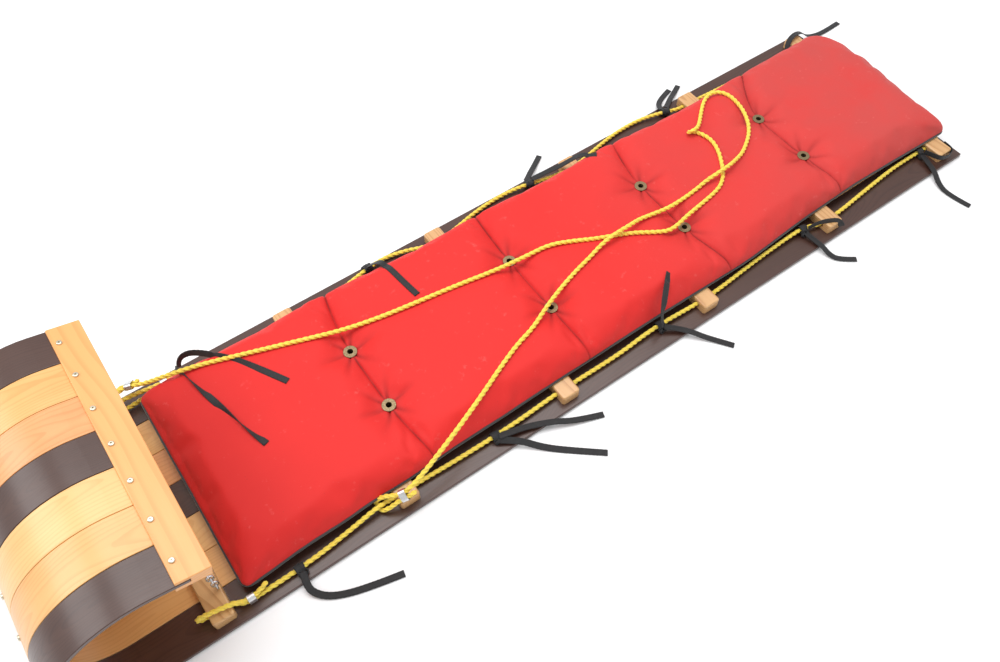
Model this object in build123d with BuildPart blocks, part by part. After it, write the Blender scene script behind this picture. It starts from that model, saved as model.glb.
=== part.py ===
"""A flat-bottomed wooden toboggan with its seat cushion, side rope and pull rope.

+X runs from the curled head towards the tail, +Y is the rider's right-hand side when they face
the tail, +Z is up. The origin is on the ground under the middle of the deck. Millimetres.
"""

import os
from math import cos, pi, radians, sin, tan

from build123d import *

os.makedirs("parts", exist_ok=True)

# Deck and curl
slat_count = 7
slat_pitch = 63.5
slat_gap = 0.6
slat_width = slat_pitch - slat_gap
slat_thickness = 7.0
slat_edge_radius = 1.2
overall_length = 1797.7
lower_curl_radius = 97.0
upper_curl_radius = 145.0
head_slope = 14.0  # degrees that the slat tips fall towards the tail
deck_end = overall_length / 2
curl_front = -overall_length / 2
lower_curl_x = curl_front + lower_curl_radius
upper_curl_x = curl_front + upper_curl_radius
curl_centre_z = lower_curl_radius
slat_centres = [(i - (slat_count - 1) / 2) * slat_pitch for i in range(slat_count)]

# Crossbars under the rider
bar_count = 6
bar_pitch = 308.6
tail_overhang = 40.5
bar_width = 34.0
bar_height = 19.0
bar_length = 421.0
bar_corner_radius = 5.0
bar_edge_radius = 3.0
bar_top = slat_thickness + bar_height
first_bar_x = deck_end - tail_overhang - (bar_count - 1) * bar_pitch
bar_xs = [first_bar_x + i * bar_pitch for i in range(bar_count)]
rope_hole_radius = 5.5
rope_hole_y = 190.0
tail_rope_hole_y = 175.0
rope_hole_z = slat_thickness + 8.5

# Bar inside the front of the curl
nose_bar_angle = 162.0  # degrees round the upper curl from +X
nose_bar_length = 390.0
slat_inner_radius = upper_curl_radius - slat_thickness

# Grooved head bar that takes the slat tips
head_bar_length = 442.0
head_bar_width = 47.0
head_bar_thickness = 21.0
head_upper_lip = 4.5
slot_depth = 20.0
slot_height = slat_thickness + 0.2
head_run = 25.1  # straight slat between the end of the curl and the head bar
tip_insertion = 18.5
head_screw_inset = 9.5

# Screws
pilot_radius = 2.0
shank_radius = 1.9
pan_head_radius = 4.3
pan_head_height = 2.4
recess_width = 2.3
recess_depth = 1.5
head_screw_length = 17.0
nose_screw_length = 20.0
countersunk_radius = 4.0
countersunk_recess = 0.4
bed_screw_length = 19.0
bed_pilot_depth = 14.0
outer_screw_y = 166.0  # clear of the rope holes

# Chains that hold the curl
chain_y = 164.0
chain_x = first_bar_x + 13.0
chain_wire = 2.6
chain_link_half_width = 4.6
chain_play = 0.15
chain_links = 13
eye_ring_radius = 4.6
eye_wire = 2.4
eye_drop = 7.0
eye_shank_length = 12.0

# Cushion
cushion_front = first_bar_x + 43.0
cushion_back = first_bar_x + 1575.0
cushion_near_ys = (-176.5, -168.0)  # at the head and at the tail
cushion_far_ys = (179.0, 164.0)
cushion_bottom = bar_top + 0.5
cushion_top = 66.0
cushion_edge_radius = 14.0
cushion_corner_radii = (22.0, 18.0, 45.0, 26.0)  # near head, near tail, far tail, far head
piping_radius = 2.2
piping_inset = 1.5
piping_rise = 2.4
grommet_xs = [first_bar_x + x for x in (359.0, 678.0, 977.0, 1278.0)]
grommet_ys = (-71.0, 49.0)
grommet_radius = 11.5
grommet_bore = 5.0
grommet_wall = 0.7
grommet_lip = 1.2
tuft_z = 58.0
tuft_clearance = 0.5

# Ropes, ferrules and tapes
rope_diameter = 8.0
ferrule_length = 11.0
ferrule_wall = 1.0
strand_spacing = 8.6
ferrule_clearance = 0.8
knot_length = 12.0
knot_radius = 7.0
knot_bore = 4.5
tape_width = 11.0
tape_thickness = 1.2
tape_tube_diameter = 2 * (tape_width * tape_thickness / pi) ** 0.5


def point(x, y, z):
    """A place along the toboggan, with x counted from the first crossbar."""
    return Vector(first_bar_x + x, y, z)


def route_radii(points):
    """The arc at each corner of a route: as large as its two runs allow."""
    radii = []
    for before, corner, after in zip(points, points[1:], points[2:]):
        arriving, leaving = corner - before, after - corner
        shorter = min(arriving.length, leaving.length)
        half_turn = radians(arriving.get_angle(leaving)) / 2
        radii.append(0.45 * shorter / tan(half_turn))
    return radii


def cord_tube(points, diameter, name):
    """A round tube along straight runs joined by tangent arcs."""
    radii = route_radii(points)
    with BuildPart() as tube:
        with BuildLine() as path:
            FilletPolyline(*points, radius=radii)
        start = Plane(origin=points[0], z_dir=points[1] - points[0])
        with BuildSketch(start):
            Circle(diameter / 2)
        sweep(path=path.wires()[0])
    length = path.wires()[0].length
    expected = pi * (diameter / 2) ** 2 * length
    print(name, "length", round(length), "volume share", round(tube.part.volume / expected, 4))
    print("   radii", [round(r, 1) for r in radii])
    return tube.part


def finished(builder, name):
    """Labels a piece and writes its STEP file."""
    builder.part.label = name
    export_step(builder.part, f"parts/{name}.step")


# ---------------------------------------------------------------- slats


def curl_point(radius, angle):
    """A point on the upper curl, as (x, z)."""
    x = upper_curl_x + radius * cos(radians(angle))
    z = curl_centre_z + radius * sin(radians(angle))
    return x, z


side_plane = Plane(origin=(0, 0, 0), x_dir=(1, 0, 0), z_dir=(0, -1, 0))
curl_end_angle = 90 - head_slope
slope = radians(head_slope)
tip_length = head_run + tip_insertion


def tip_point(radius, along):
    """A point on the straight tip of a slat, as (x, z)."""
    x, z = curl_point(radius, curl_end_angle)
    return x + along * cos(slope), z - along * sin(slope)


def head_point(along, above):
    """A point of the head bar's cross-section: along the slats from the bar's front face, and
    above their outer surface."""
    x, z = tip_point(upper_curl_radius, head_run + along)
    return x + above * sin(slope), z + above * cos(slope)


def bed_screw_y(centre):
    """Where a slat's screws stand: on its middle, or inboard of the rope holes."""
    return max(-outer_screw_y, min(outer_screw_y, centre))


def make_slat(centre):
    """One J-shaped slat, with its screw holes."""
    inner_low = lower_curl_radius - slat_thickness
    with BuildPart() as slat:
        with BuildSketch(side_plane.offset(-centre - slat_width / 2)):
            with BuildLine():
                Line((lower_curl_x, 0), (deck_end, 0))
                Line((deck_end, 0), (deck_end, slat_thickness))
                Line((deck_end, slat_thickness), (lower_curl_x, slat_thickness))
                CenterArc((lower_curl_x, curl_centre_z), inner_low, 270, -90)
                CenterArc((upper_curl_x, curl_centre_z), slat_inner_radius, 180,
                          curl_end_angle - 180)
                Line(curl_point(slat_inner_radius, curl_end_angle),
                     tip_point(slat_inner_radius, tip_length))
                Line(tip_point(slat_inner_radius, tip_length),
                     tip_point(upper_curl_radius, tip_length))
                Line(tip_point(upper_curl_radius, tip_length),
                     curl_point(upper_curl_radius, curl_end_angle))
                CenterArc((upper_curl_x, curl_centre_z), upper_curl_radius, curl_end_angle,
                          180 - curl_end_angle)
                CenterArc((lower_curl_x, curl_centre_z), lower_curl_radius, 180, 90)
            make_face()
        extrude(amount=slat_width)
        long_edges = [e for e in slat.edges().filter_by(Axis.Y, reverse=True)
                      if e.length > 2 * slat_thickness]
        fillet(long_edges, slat_edge_radius)
        for bar_x in bar_xs:
            screw_y = bed_screw_y(centre)
            with Locations(Plane(origin=(bar_x, screw_y, 0), z_dir=(0, 0, -1))):
                CounterSinkHole(pilot_radius, countersunk_radius + 0.1, depth=slat_thickness)
        with Locations(nose_screw_plane(centre), head_screw_plane(centre)):
            Hole(pilot_radius, depth=2 * slat_thickness)
    return slat


def nose_screw_plane(y):
    """On the outside of the curl over the nose bar, facing out."""
    x, z = curl_point(upper_curl_radius, nose_bar_angle)
    outward = (cos(radians(nose_bar_angle)), 0, sin(radians(nose_bar_angle)))
    return Plane(origin=(x, y, z), x_dir=(0, 1, 0), z_dir=outward)


def head_screw_plane(y):
    """On the top face of the head bar, facing up."""
    x, z = head_point(head_screw_inset, head_upper_lip)
    return Plane(origin=(x, y, z), x_dir=(0, 1, 0), z_dir=(sin(slope), 0, cos(slope)))


for index, centre in enumerate(slat_centres):
    finished(make_slat(centre), f"slat_{index + 1}")


# ---------------------------------------------------------------- crossbars


def make_crossbar(number):
    """A bar across the bed, bored for the side rope and drilled for the slat screws."""
    bar_x = bar_xs[number]
    hole_y = tail_rope_hole_y if number == bar_count - 1 else rope_hole_y
    with BuildPart() as bar:
        with BuildSketch(Plane.XY.offset(slat_thickness)):
            with Locations((bar_x, 0)):
                RectangleRounded(bar_width, bar_length, bar_corner_radius)
        extrude(amount=bar_height)
        fillet(bar.faces().sort_by(Axis.Z)[-1].edges(), bar_edge_radius)
        with Locations(Plane(origin=(bar_x + bar_width / 2, hole_y, rope_hole_z), z_dir=(1, 0, 0)),
                       Plane(origin=(bar_x + bar_width / 2, -hole_y, rope_hole_z), z_dir=(1, 0, 0))):
            Hole(rope_hole_radius, depth=bar_width)
        for centre in slat_centres:
            below = Plane(origin=(bar_x, bed_screw_y(centre), slat_thickness), z_dir=(0, 0, -1))
            with Locations(below):
                Hole(pilot_radius, depth=bed_pilot_depth)
        if number == 0:
            with Locations(*[Plane(origin=(chain_x, y, bar_top)) for y in (-chain_y, chain_y)]):
                Hole(eye_wire / 2 + 0.1, depth=eye_shank_length + 0.5)
    return bar


for number in range(bar_count):
    finished(make_crossbar(number), f"crossbar_{number + 1}")


with BuildPart() as nose_bar:
    half_angle = (bar_width / 2) / slat_inner_radius * 180 / pi
    inner_side = slat_inner_radius - bar_height
    outward = Vector(cos(radians(nose_bar_angle)), sin(radians(nose_bar_angle)))
    across = Vector(-outward.Y, outward.X)
    centre = Vector(upper_curl_x, curl_centre_z)
    inner_a = centre + outward * inner_side - across * (bar_width / 2)
    inner_b = centre + outward * inner_side + across * (bar_width / 2)
    start = curl_point(slat_inner_radius, nose_bar_angle - half_angle)
    end = curl_point(slat_inner_radius, nose_bar_angle + half_angle)
    with BuildSketch(side_plane.offset(-nose_bar_length / 2)):
        with BuildLine():
            CenterArc((upper_curl_x, curl_centre_z), slat_inner_radius,
                      nose_bar_angle - half_angle, 2 * half_angle)
            Line(end, (inner_b.X, inner_b.Y))
            Line((inner_b.X, inner_b.Y), (inner_a.X, inner_a.Y))
            Line((inner_a.X, inner_a.Y), start)
        make_face()
    extrude(amount=nose_bar_length)
    inner_face = nose_bar.faces().sort_by(Axis.X)[-1]
    fillet(inner_face.edges(), bar_edge_radius)
    with Locations(*[nose_screw_plane(y) for y in slat_centres]):
        Hole(pilot_radius, depth=slat_thickness + bed_pilot_depth)
finished(nose_bar, "nose_crossbar")


# ---------------------------------------------------------------- head bar

with BuildPart() as head_bar:
    lower = head_upper_lip - head_bar_thickness
    corners = [head_point(0, head_upper_lip), head_point(head_bar_width, head_upper_lip),
               head_point(head_bar_width, lower), head_point(0, lower)]
    groove = [head_point(-1, 0), head_point(slot_depth, 0),
              head_point(slot_depth, -slot_height), head_point(-1, -slot_height)]
    with BuildSketch(side_plane.offset(-head_bar_length / 2)):
        Polygon(*corners, align=None)
    extrude(amount=head_bar_length)
    fillet(head_bar.edges(), 1.5)
    with BuildSketch(side_plane.offset(-head_bar_length / 2)):
        Polygon(*groove, align=None)
    extrude(amount=head_bar_length, mode=Mode.SUBTRACT)
    with Locations(*[head_screw_plane(y) for y in slat_centres]):
        Hole(pilot_radius, depth=head_screw_length + 1)
    eye_along = (chain_x - head_point(0, lower)[0]) / cos(slope)
    chain_top_z = head_point(eye_along, lower)[1]
    with Locations(*[Plane(origin=(chain_x, y, chain_top_z), z_dir=(0, 0, -1))
                     for y in (-chain_y, chain_y)]):
        Hole(eye_wire / 2 + 0.1, depth=eye_shank_length + 0.5)
finished(head_bar, "head_bar")


# ---------------------------------------------------------------- screws


def make_pan_screws(length, planes):
    """Proud pan-head screws with a square recess, one at each plane."""
    with BuildPart() as one:
        Cylinder(shank_radius, length, align=(Align.CENTER, Align.CENTER, Align.MAX))
        chamfer(one.edges().sort_by(Axis.Z)[0], shank_radius * 0.8)
        Cylinder(pan_head_radius, pan_head_height, align=(Align.CENTER, Align.CENTER, Align.MIN))
        fillet(one.edges().sort_by(Axis.Z)[-1], pan_head_height * 0.7)
        with BuildSketch(Plane.XY.offset(pan_head_height)):
            Rectangle(recess_width, recess_width)
        extrude(amount=-recess_depth, mode=Mode.SUBTRACT)
    with BuildPart() as screws:
        with Locations(*planes):
            add(one.part)
    return screws


def make_bed_screws(bar_x):
    """Countersunk screws that come up through the slats into one crossbar."""
    with BuildPart() as one:
        with BuildSketch(Plane.XZ):
            cone = countersunk_radius - shank_radius
            with BuildLine():
                Polyline((0, countersunk_recess), (countersunk_radius - 0.3, countersunk_recess),
                         (shank_radius, countersunk_recess + cone - 0.3),
                         (shank_radius, bed_screw_length - shank_radius),
                         (0, bed_screw_length), (0, countersunk_recess))
            make_face()
        revolve(axis=Axis.Z)
        with BuildSketch(Plane.XY.offset(countersunk_recess)):
            Rectangle(recess_width, recess_width)
        extrude(amount=recess_depth, mode=Mode.SUBTRACT)
    with BuildPart() as screws:
        with Locations(*[(bar_x, bed_screw_y(y), 0) for y in slat_centres]):
            add(one.part)
    return screws


finished(make_pan_screws(head_screw_length, [head_screw_plane(y) for y in slat_centres]),
         "head_screws")
finished(make_pan_screws(nose_screw_length, [nose_screw_plane(y) for y in slat_centres]),
         "nose_screws")
for number, bar_x in enumerate(bar_xs):
    finished(make_bed_screws(bar_x), f"bed_screws_{number + 1}")


# ---------------------------------------------------------------- chains


def make_link(height):
    """One oval chain link standing up, its wire's end centres `height` apart."""
    straight = height - 2 * chain_link_half_width
    with BuildPart() as link:
        with BuildLine(Plane.XZ) as oval:
            Line((chain_link_half_width, -straight / 2), (chain_link_half_width, straight / 2))
            CenterArc((0, straight / 2), chain_link_half_width, 0, 180)
            Line((-chain_link_half_width, straight / 2), (-chain_link_half_width, -straight / 2))
            CenterArc((0, -straight / 2), chain_link_half_width, 180, 180)
        with BuildSketch(Plane.XY):
            with Locations((chain_link_half_width, 0)):
                Circle(chain_wire / 2)
        sweep(path=oval.wires()[0])
    return link.part


def make_screw_eye():
    """A screw eye standing up: its shank below z = 0, its ring above."""
    with BuildPart() as eye:
        with Locations(Plane(origin=(0, 0, eye_drop), z_dir=(1, 0, 0))):
            Torus(eye_ring_radius, eye_wire / 2)
        with Locations((0, 0, -eye_shank_length)):
            Cylinder(eye_wire / 2, eye_shank_length + eye_drop - eye_ring_radius,
                     align=(Align.CENTER, Align.CENTER, Align.MIN))
    return eye.part


ring_gap = (eye_wire + chain_wire) / 2 + chain_play
chain_low = bar_top + eye_drop + eye_ring_radius - ring_gap
chain_high = chain_top_z - eye_drop - eye_ring_radius + ring_gap
lost_per_joint = chain_wire + chain_play
link_height = (chain_high - chain_low + (chain_links - 1) * lost_per_joint) / chain_links
link_pitch = link_height - lost_per_joint
link = make_link(link_height)
screw_eye = make_screw_eye()

for side, name in ((-1, "near_chain"), (1, "far_chain")):
    with BuildPart() as chain:
        for number in range(chain_links):
            middle = chain_low + link_height / 2 + number * link_pitch
            quarter_turn = 90 * (number % 2)
            with Locations(Location((chain_x, side * chain_y, middle), (0, 0, quarter_turn))):
                add(link)
    finished(chain, name)

with BuildPart() as screw_eyes:
    for y in (-chain_y, chain_y):
        with Locations(Location((chain_x, y, bar_top)),
                       Location((chain_x, y, chain_top_z), (180, 0, 0))):
            add(screw_eye)
finished(screw_eyes, "chain_screw_eyes")


# ---------------------------------------------------------------- cushion

grommet_places = [(x, y) for x in grommet_xs for y in grommet_ys]


def cushion_outline(z, inset=0.0):
    """The cushion's plan, which narrows towards the tail, at one height."""
    corners = [
        (cushion_front + inset, cushion_near_ys[0] + inset),
        (cushion_back - inset, cushion_near_ys[1] + inset),
        (cushion_back - inset, cushion_far_ys[1] - inset),
        (cushion_front + inset, cushion_far_ys[0] - inset),
    ]
    with BuildSketch(Plane.XY.offset(z)) as outline:
        Polygon(*corners, align=None)
        for corner, radius in zip(corners, cushion_corner_radii):
            nearest = outline.vertices().sort_by_distance((*corner, z))[0]
            fillet(nearest, radius - inset)
    return outline.sketch


with BuildPart() as cushion:
    add(cushion_outline(cushion_bottom))
    extrude(amount=cushion_top - cushion_bottom)
    rims = cushion.faces().sort_by(Axis.Z)[-1].edges() + cushion.faces().sort_by(Axis.Z)[0].edges()
    fillet(rims, cushion_edge_radius)
    with BuildSketch(Plane.XY.offset(cushion_bottom)):
        with Locations(*grommet_places):
            Circle(grommet_bore + grommet_wall + tuft_clearance)
    extrude(amount=cushion_top - cushion_bottom, mode=Mode.SUBTRACT)
    with BuildSketch(Plane.XY.offset(tuft_z)):
        with Locations(*grommet_places):
            Circle(grommet_radius + tuft_clearance)
    extrude(amount=cushion_top - tuft_z, mode=Mode.SUBTRACT)
finished(cushion, "cushion")

with BuildPart() as piping:
    seam = cushion_outline(cushion_bottom + piping_rise, piping_inset).faces()[0].outer_wire()
    with BuildSketch(Plane(origin=seam @ 0, z_dir=seam % 0)):
        Circle(piping_radius)
    sweep(path=seam)
finished(piping, "cushion_piping")

with BuildPart() as grommets:
    barrel = grommet_bore + grommet_wall
    bottom_lip = cushion_bottom - 0.1 - grommet_lip
    with BuildSketch(Plane.XY.offset(bottom_lip)):
        with Locations(*grommet_places):
            Circle(grommet_radius)
    extrude(amount=grommet_lip)
    with BuildSketch(Plane.XY.offset(bottom_lip)):
        with Locations(*grommet_places):
            Circle(barrel)
    extrude(amount=tuft_z + grommet_lip - bottom_lip)
    with BuildSketch(Plane.XY.offset(tuft_z + 0.1)):
        with Locations(*grommet_places):
            Circle(grommet_radius)
    extrude(amount=grommet_lip)
    fillet(grommets.edges().filter_by(GeomType.CIRCLE).group_by(Axis.Z)[-1], 0.5)
    with BuildSketch(Plane.XY.offset(bottom_lip)):
        with Locations(*grommet_places):
            Circle(grommet_bore)
    extrude(amount=tuft_z + 2 * grommet_lip - bottom_lip, mode=Mode.SUBTRACT)
finished(grommets, "grommets")


# ---------------------------------------------------------------- side rope

near_eye = [
    point(74, -197, 28), point(57, -203, 23.6), point(33, -203, 23.6), point(19, -199, 33),
    point(-27, -191, 33.5), point(-32, -189, 24.7), point(-27, -189.5, 16),
    point(21, -190.5, 15.5), point(33, -203, 15), point(57, -203, 15),
]
near_run = [
    point(105, -203, 14.5), point(160, -201, 15), point(215, -195, 16.5),
    point(262, -191, 23.6), point(289, -190, 16), point(334, -189.6, 15.3),
    point(400, -192.5, 14.6), point(463, -194, 15), point(528, -193.2, 14.6),
    point(591, -190.4, 15.6), point(643, -189.7, 15.3), point(737, -190.5, 14.4),
    point(796, -186.5, 17.5), point(846, -187, 17.6), point(900, -189.9, 15.7),
    point(951, -190.3, 15.3), point(1061, -181, 15.8), point(1164, -177.5, 18.6),
    point(1193, -181.5, 18.2), point(1212, -189, 15.8), point(1259, -190.3, 15.3),
    point(1357, -180, 14.8), point(1440, -173, 16.6), point(1515, -173.8, 16),
]
tail_run = [
    point(1562, -175.2, 15.3), point(1573, -164, 15.4), point(1574.5, -58, 12.7),
    point(1572, 62, 12.9), point(1573, 164, 15.4), point(1562, 175.2, 15.3),
]
far_run = [
    point(1517, 175, 15.9), point(1462, 178.5, 15), point(1400, 186, 13.2),
    point(1290, 189, 14), point(1259, 189.8, 15.6), point(1208, 190.4, 15.3),
    point(1186, 197, 16), point(1154, 207.5, 15), point(1114, 217, 12.2), point(1056, 215, 12),
    point(1001, 204, 12.6), point(951, 190.5, 15.7), point(900, 189.8, 15.3),
    point(858, 198, 16), point(813, 209, 15), point(765, 213.5, 12), point(712, 207.5, 12.2),
    point(672, 197.5, 13.6), point(643, 190.3, 15.7), point(591, 189.9, 15.3),
    point(566, 202, 14), point(530, 213, 12.3), point(500, 212.5, 14.3),
    point(466, 206.5, 14.6), point(410, 196, 12.8), point(334, 190.2, 15.6),
    point(284, 189.8, 15.3), point(200, 192.5, 13.5), point(124, 198, 15),
]
far_eye = [
    point(100, 197, 15), point(76, 197, 15), point(21, 190.5, 15.5), point(-40, 189.5, 15),
    point(-45, 189, 24.7), point(-40, 191, 36.3), point(20, 197, 36.2), point(76, 197, 23.6),
    point(100, 197, 23.6), point(117, 192, 26.5),
]
side_route = near_eye + near_run + tail_run + far_run + far_eye

with BuildPart() as side_rope:
    add(cord_tube(side_route, rope_diameter, "side_rope"))
finished(side_rope, "side_rope")


# ---------------------------------------------------------------- pull rope

pull_route = [
    point(57.5, 201.5, 55.5), point(51, 202.7, 50.4), point(34.3, 210.1, 47.6),
    point(9, 209.8, 44.5), point(-16, 206.5, 43), point(-27, 205, 24), point(-26, 193, 22.8),
    point(-27, 180, 34.5), point(-20, 187, 47), point(6, 197.5, 50.8),
    point(30.7, 203.9, 52.4), point(48.7, 195.9, 55.4), point(62, 188.5, 57.5),
    point(90, 173.6, 70.5), point(121, 162.6, 76.2), point(154, 155, 75), point(214, 134, 75.4),
    point(305, 103, 75), point(368, 81, 75.3), point(433, 67.2, 75), point(502, 57.3, 75.4),
    point(572, 48, 75), point(641, 36, 75.3), point(701, 30.3, 75), point(747, 27.6, 75.3),
    point(787, 10, 75), point(822, -9, 74.8), point(858, -24, 74.8), point(887, -38.5, 75),
    point(918, -59.5, 75.1), point(937, -69.5, 75), point(957, -69.5, 75.1),
    point(990, -62, 75), point(1035, -56, 75.2), point(1070.5, -49.6, 75),
    point(1091, -41.5, 74.8), point(1110, -25.5, 74.8), point(1123, -8.5, 74.8),
    point(1140, 18, 75), point(1149, 42, 75.2), point(1149.5, 62, 75), point(1141, 84, 75),
    point(1129, 90.2, 75.2), point(1124.7, 87.3, 79.8), point(1127.1, 82.8, 84.4),
    point(1140, 82.6, 84.2), point(1154, 90.3, 80.5), point(1169, 102.5, 77.3),
    point(1188, 119, 75.3), point(1207, 134, 75), point(1227, 144, 75.2),
    point(1246, 142.8, 75), point(1259, 131, 75.2), point(1263.4, 108, 75),
    point(1254, 66.7, 75.3), point(1226.6, 24.2, 75.2), point(1179, -7.2, 75.6),
    point(1152, -16, 79.3), point(1127, -23.5, 86), point(1098, -25.2, 86.2),
    point(1070, -22.8, 79.3), point(1041, -26, 75.2), point(1010.6, -28.8, 75),
    point(973, -30.2, 75.3), point(932, -23.4, 75.5), point(909, -22, 79.3),
    point(885, -26.3, 86), point(843, -27, 86.3), point(819, -27.5, 79.6),
    point(789, -35, 75.2), point(752, -43.8, 75), point(708, -57.7, 75.3),
    point(664, -74.8, 75), point(621, -95.3, 75.3), point(585, -104.6, 75),
    point(541, -122.3, 75.2), point(489, -146, 75), point(436, -168.6, 75.6),
    point(405, -181, 75.4), point(376, -189.8, 69), point(345, -197.5, 57.5),
    point(309.4, -205.3, 49), point(292.7, -198.8, 40.2), point(275, -185.5, 33.5),
    point(264, -180.1, 23.7), point(263, -184.4, 13.7), point(264, -195.4, 12.4),
    point(275, -202.5, 21.5), point(292.7, -205.7, 35), point(309.4, -212.2, 43.8),
    point(318, -214, 51),
]

with BuildPart() as pull_rope:
    add(cord_tube(pull_route, rope_diameter, "pull_rope"))
finished(pull_rope, "pull_rope")


# ---------------------------------------------------------------- ferrules


def make_ferrule(strand_a, strand_b):
    """A flattened metal sleeve round two strands. Each strand is its run through the sleeve."""
    middles = [(run[0] + run[1]) / 2 for run in (strand_a, strand_b)]
    axis = strand_a[1] - strand_a[0]
    stack = middles[1] - middles[0]
    sleeve = Plane(origin=(middles[0] + middles[1]) / 2, x_dir=stack, z_dir=axis)
    inner_height = rope_diameter + 2 * ferrule_clearance
    inner_width = inner_height + strand_spacing
    with BuildPart() as ferrule:
        with BuildSketch(sleeve):
            SlotOverall(inner_width + 2 * ferrule_wall, inner_height + 2 * ferrule_wall)
            SlotOverall(inner_width, inner_height, mode=Mode.SUBTRACT)
        extrude(amount=ferrule_length / 2, both=True)
    return ferrule.part


with BuildPart() as side_ferrules:
    add(make_ferrule((near_eye[8], near_eye[9]), (near_eye[2], near_eye[1])))
    add(make_ferrule((far_eye[1], far_eye[0]), (far_eye[7], far_eye[8])))
finished(side_ferrules, "side_rope_ferrules")

with BuildPart() as pull_ferrules:
    add(make_ferrule((pull_route[2], pull_route[1]), (pull_route[10], pull_route[11])))
    add(make_ferrule((pull_route[-9], pull_route[-10]), (pull_route[-3], pull_route[-2])))
finished(pull_ferrules, "pull_rope_ferrules")


# ---------------------------------------------------------------- ties

ground = 2.6
on_top = 68.8
tie_tails = {
    "near_tie_1": [
        [point(122, -211, 18), point(118, -227, 12.5), point(119, -241, 5),
         point(138, -261, ground), point(182, -279, ground), point(243, -293, ground)],
    ],
    "near_tie_2": [
        [point(474, -202.5, 16.5), point(488, -211, 15), point(508, -227, 12),
         point(526, -246, 4.5), point(553, -271, ground), point(608, -316, ground)],
        [point(479, -200, 20), point(498, -203, 17.5), point(530, -210, 13.5),
         point(570, -227, 12), point(600, -243, 4.5), point(646, -259, ground)],
    ],
    "near_tie_3": [
        [point(829, -195, 19), point(845, -206, 15.5), point(864, -226, 12),
         point(880, -245, 4.5), point(897, -266, ground), point(911, -286, ground)],
        [point(825, -194.5, 26), point(822, -189, 49), point(828, -183, 68),
         point(846, -166, 71), point(879, -137, 69.5)],
    ],
    "near_tie_4": [
        [point(1179, -188.5, 17), point(1181, -204, 14.5), point(1185, -227, 12),
         point(1187, -243, 4.5), point(1194, -261, ground), point(1222, -280, ground)],
        [point(1183, -187.5, 26), point(1199, -191, 32), point(1221, -198, 31),
         point(1243, -210, 29), point(1243, -217, 19)],
    ],
    "near_tie_5": [
        [point(1509, -182.5, 16), point(1505, -203, 14), point(1497, -227, 12),
         point(1488, -246, 4.5), point(1483, -273, ground), point(1494, -318, ground)],
        [point(1513, -183, 22), point(1519, -198, 22), point(1526, -213.5, 21),
         point(1543, -217, 20), point(1561, -213.5, 20), point(1564.5, -200, 20),
         point(1564, -188, 20.5)],
    ],
    "far_tie_1": [
        [point(120, 182, 60), point(124, 189, 71), point(142, 190, 74), point(163, 176, 72),
         point(186, 150, 69), point(210, 120, on_top), point(249, 50, on_top)],
        [point(113, 182, 59), point(114, 180, 68.5), point(121, 156, 68.3),
         point(130, 123, on_top), point(147, 51, on_top), point(172, -27, on_top)],
    ],
    "far_tie_2": [
        [point(482, 207, 23.5), point(486, 188, 50), point(491, 171, 70),
         point(496, 146, 70.5), point(501, 100, on_top), point(505, 73, on_top)],
    ],
    "far_tie_3": [
        [point(836, 212.5, 17), point(846, 220, 13.5), point(860, 231, 10),
         point(877, 243, 4), point(905, 262, ground)],
        [point(843, 203.5, 25), point(868, 202, 27), point(898, 193, 34),
         point(920, 181, 52), point(932, 168, 69.5), point(954, 151, on_top)],
    ],
    "far_tie_4": [
        [point(1176, 209, 17), point(1180, 220, 12.5), point(1192, 234, 5),
         point(1211, 246, ground), point(1240, 255, ground)],
        [point(1185, 206, 20), point(1198, 215, 14.5), point(1216, 226.5, 11.5),
         point(1235, 238, 4), point(1264, 254, ground)],
    ],
    "far_tie_5": [
        [point(1508, 184, 20), point(1519, 197, 32), point(1545, 204, 36),
         point(1571, 206, 28), point(1588, 204, 12), point(1606, 200, 4.5),
         point(1642, 196, ground), point(1692, 200, ground)],
    ],
}
# Each knot: the rope's run it grips, and how far along that run it stands.
knot_places = {
    "near_tie_1": (near_run[0], near_run[1], 0.3),
    "near_tie_2": (near_run[7], near_run[8], 0.2),
    "near_tie_3": (near_run[12], near_run[13], 0.6),
    "near_tie_4": (near_run[17], near_run[18], 0.52),
    "near_tie_5": (near_run[22], near_run[23], 0.93),
    "far_tie_2": (far_run[22], far_run[23], 0.55),
    "far_tie_3": (far_run[13], far_run[14], 0.47),
    "far_tie_4": (far_run[6], far_run[7], 0.25),
    "far_tie_5": (far_run[0], far_run[1], 0.17),
}


def make_knot(start, end, fraction):
    """The wrapped part of a tie: a short sleeve round one run of the side rope."""
    with BuildPart() as knot:
        with BuildSketch(Plane(origin=start + (end - start) * fraction, z_dir=end - start)):
            Circle(knot_radius)
            Circle(knot_bore, mode=Mode.SUBTRACT)
        extrude(amount=knot_length / 2, both=True)
        fillet(knot.edges().filter_by(GeomType.CIRCLE).sort_by(SortBy.RADIUS)[-2:], 1.8)
    return knot.part


for name, tails in tie_tails.items():
    with BuildPart() as tie:
        if name in knot_places:
            add(make_knot(*knot_places[name]))
        for number, tail in enumerate(tails):
            add(cord_tube(tail, tape_tube_diameter, f"{name} tail {number + 1}"))
    finished(tie, name)
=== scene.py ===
"""A wooden toboggan with a red seat cushion, yellow ropes and black tape ties.

Lengths are metres in the row frame; places along the toboggan are written in millimetres from
the first crossbar and turned into metres by at().
"""

import math

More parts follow.
